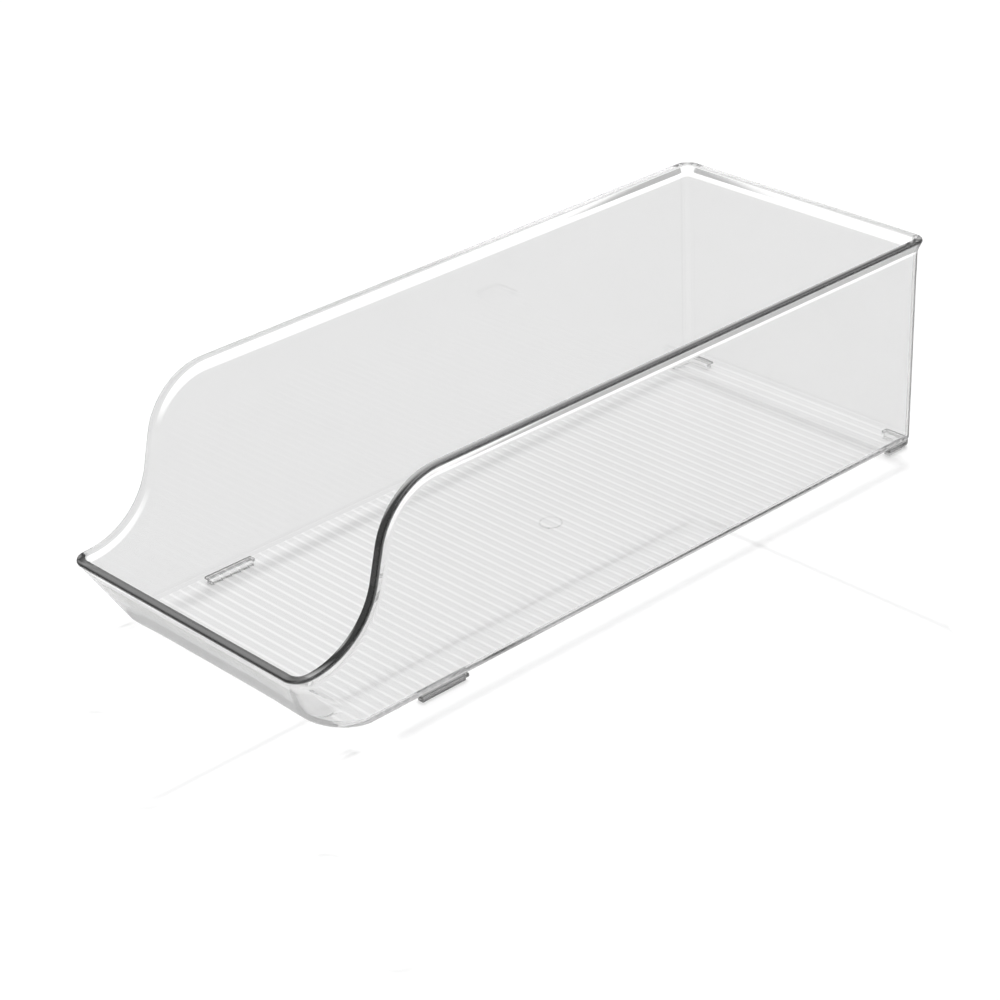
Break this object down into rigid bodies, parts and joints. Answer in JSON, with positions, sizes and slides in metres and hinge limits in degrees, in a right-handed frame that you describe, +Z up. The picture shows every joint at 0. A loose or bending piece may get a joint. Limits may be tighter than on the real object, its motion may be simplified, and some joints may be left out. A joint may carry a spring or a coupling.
{
  "type": "can storage tray",
  "caption": "Long clear plastic tray for drink cans, open at the top, with side walls that fall in a curve to a low front lip, a rim bead and stacking feet.",
  "frame": {"origin": "on the surface that the feet stand on, under the middle of the rim", "axes": "+Z up, -Y towards the low front lip, +X to the right when looking from the front"},
  "size_m": [0.146, 0.368, 0.103],
  "materials": {
    "clear_plastic": "clear, polished on both sides"
  },
  "bodies": {
    "root": {"floor_panel": "clear_plastic", "floor_ribs": "clear_plastic", "gate_mark": "clear_plastic", "front_wall": "clear_plastic", "back_wall": "clear_plastic", "left_side_wall": "clear_plastic", "right_side_wall": "clear_plastic", "front_lip": "clear_plastic", "back_rim": "clear_plastic", "left_rim": "clear_plastic", "right_rim": "clear_plastic", "front_left_foot": "clear_plastic", "front_right_foot": "clear_plastic", "back_left_foot": "clear_plastic", "back_right_foot": "clear_plastic"}
  },
  "joints": []
}
